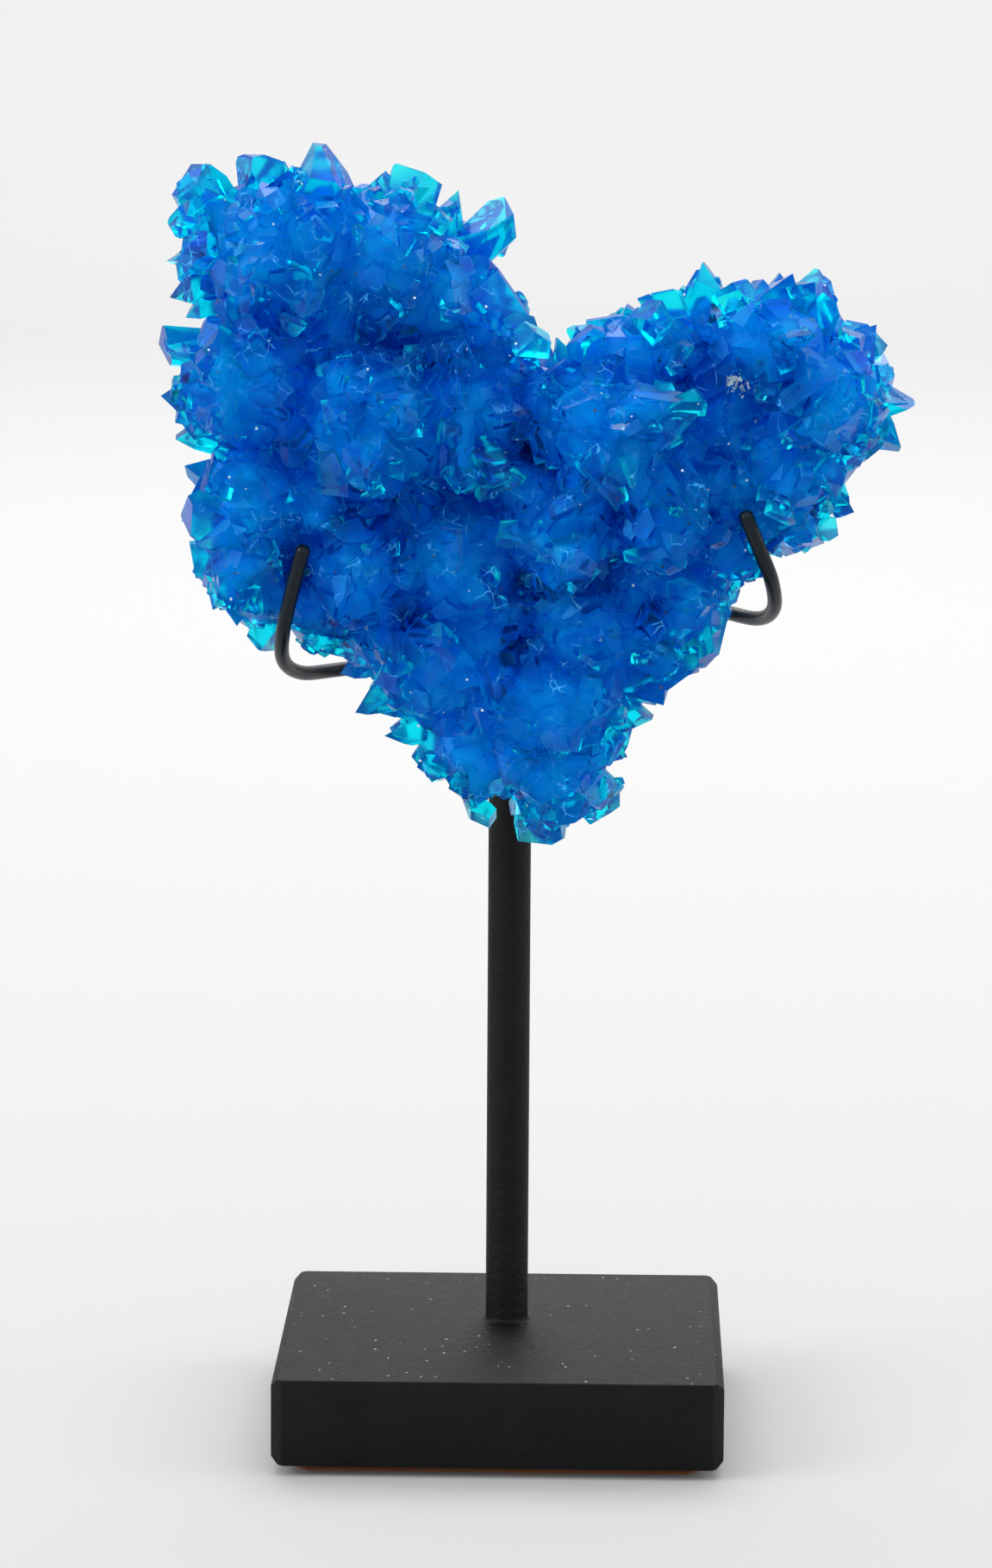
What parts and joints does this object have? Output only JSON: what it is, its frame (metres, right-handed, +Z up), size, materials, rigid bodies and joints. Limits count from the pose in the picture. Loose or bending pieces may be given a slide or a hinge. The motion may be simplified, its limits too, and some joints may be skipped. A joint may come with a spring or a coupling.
{
  "type": "chalcanthite crystal specimen on a stand",
  "caption": "Heart-shaped cluster of bright blue chalcanthite crystals, held by wire hooks on a black post with a square base, for display on a shelf.",
  "frame": {"origin": "middle of the felt pad's underside, under the middle of the square base, on the shelf's surface", "axes": "+Z up along the post, -Y to the front where the cluster's face is, +X to the right seen from the front"},
  "size_m": [0.0842, 0.0519, 0.1476],
  "materials": {
    "chalcanthite": "glossy, cloudy inside",
    "painted_steel": "fine-grained satin black paint",
    "felt": "matt felt"
  },
  "bodies": {
    "root": {"base_block": "painted_steel", "post": "painted_steel", "prong_left": "painted_steel", "prong_right": "painted_steel", "felt_pad": "felt", "chalcanthite_cluster": "chalcanthite"}
  },
  "joints": []
}
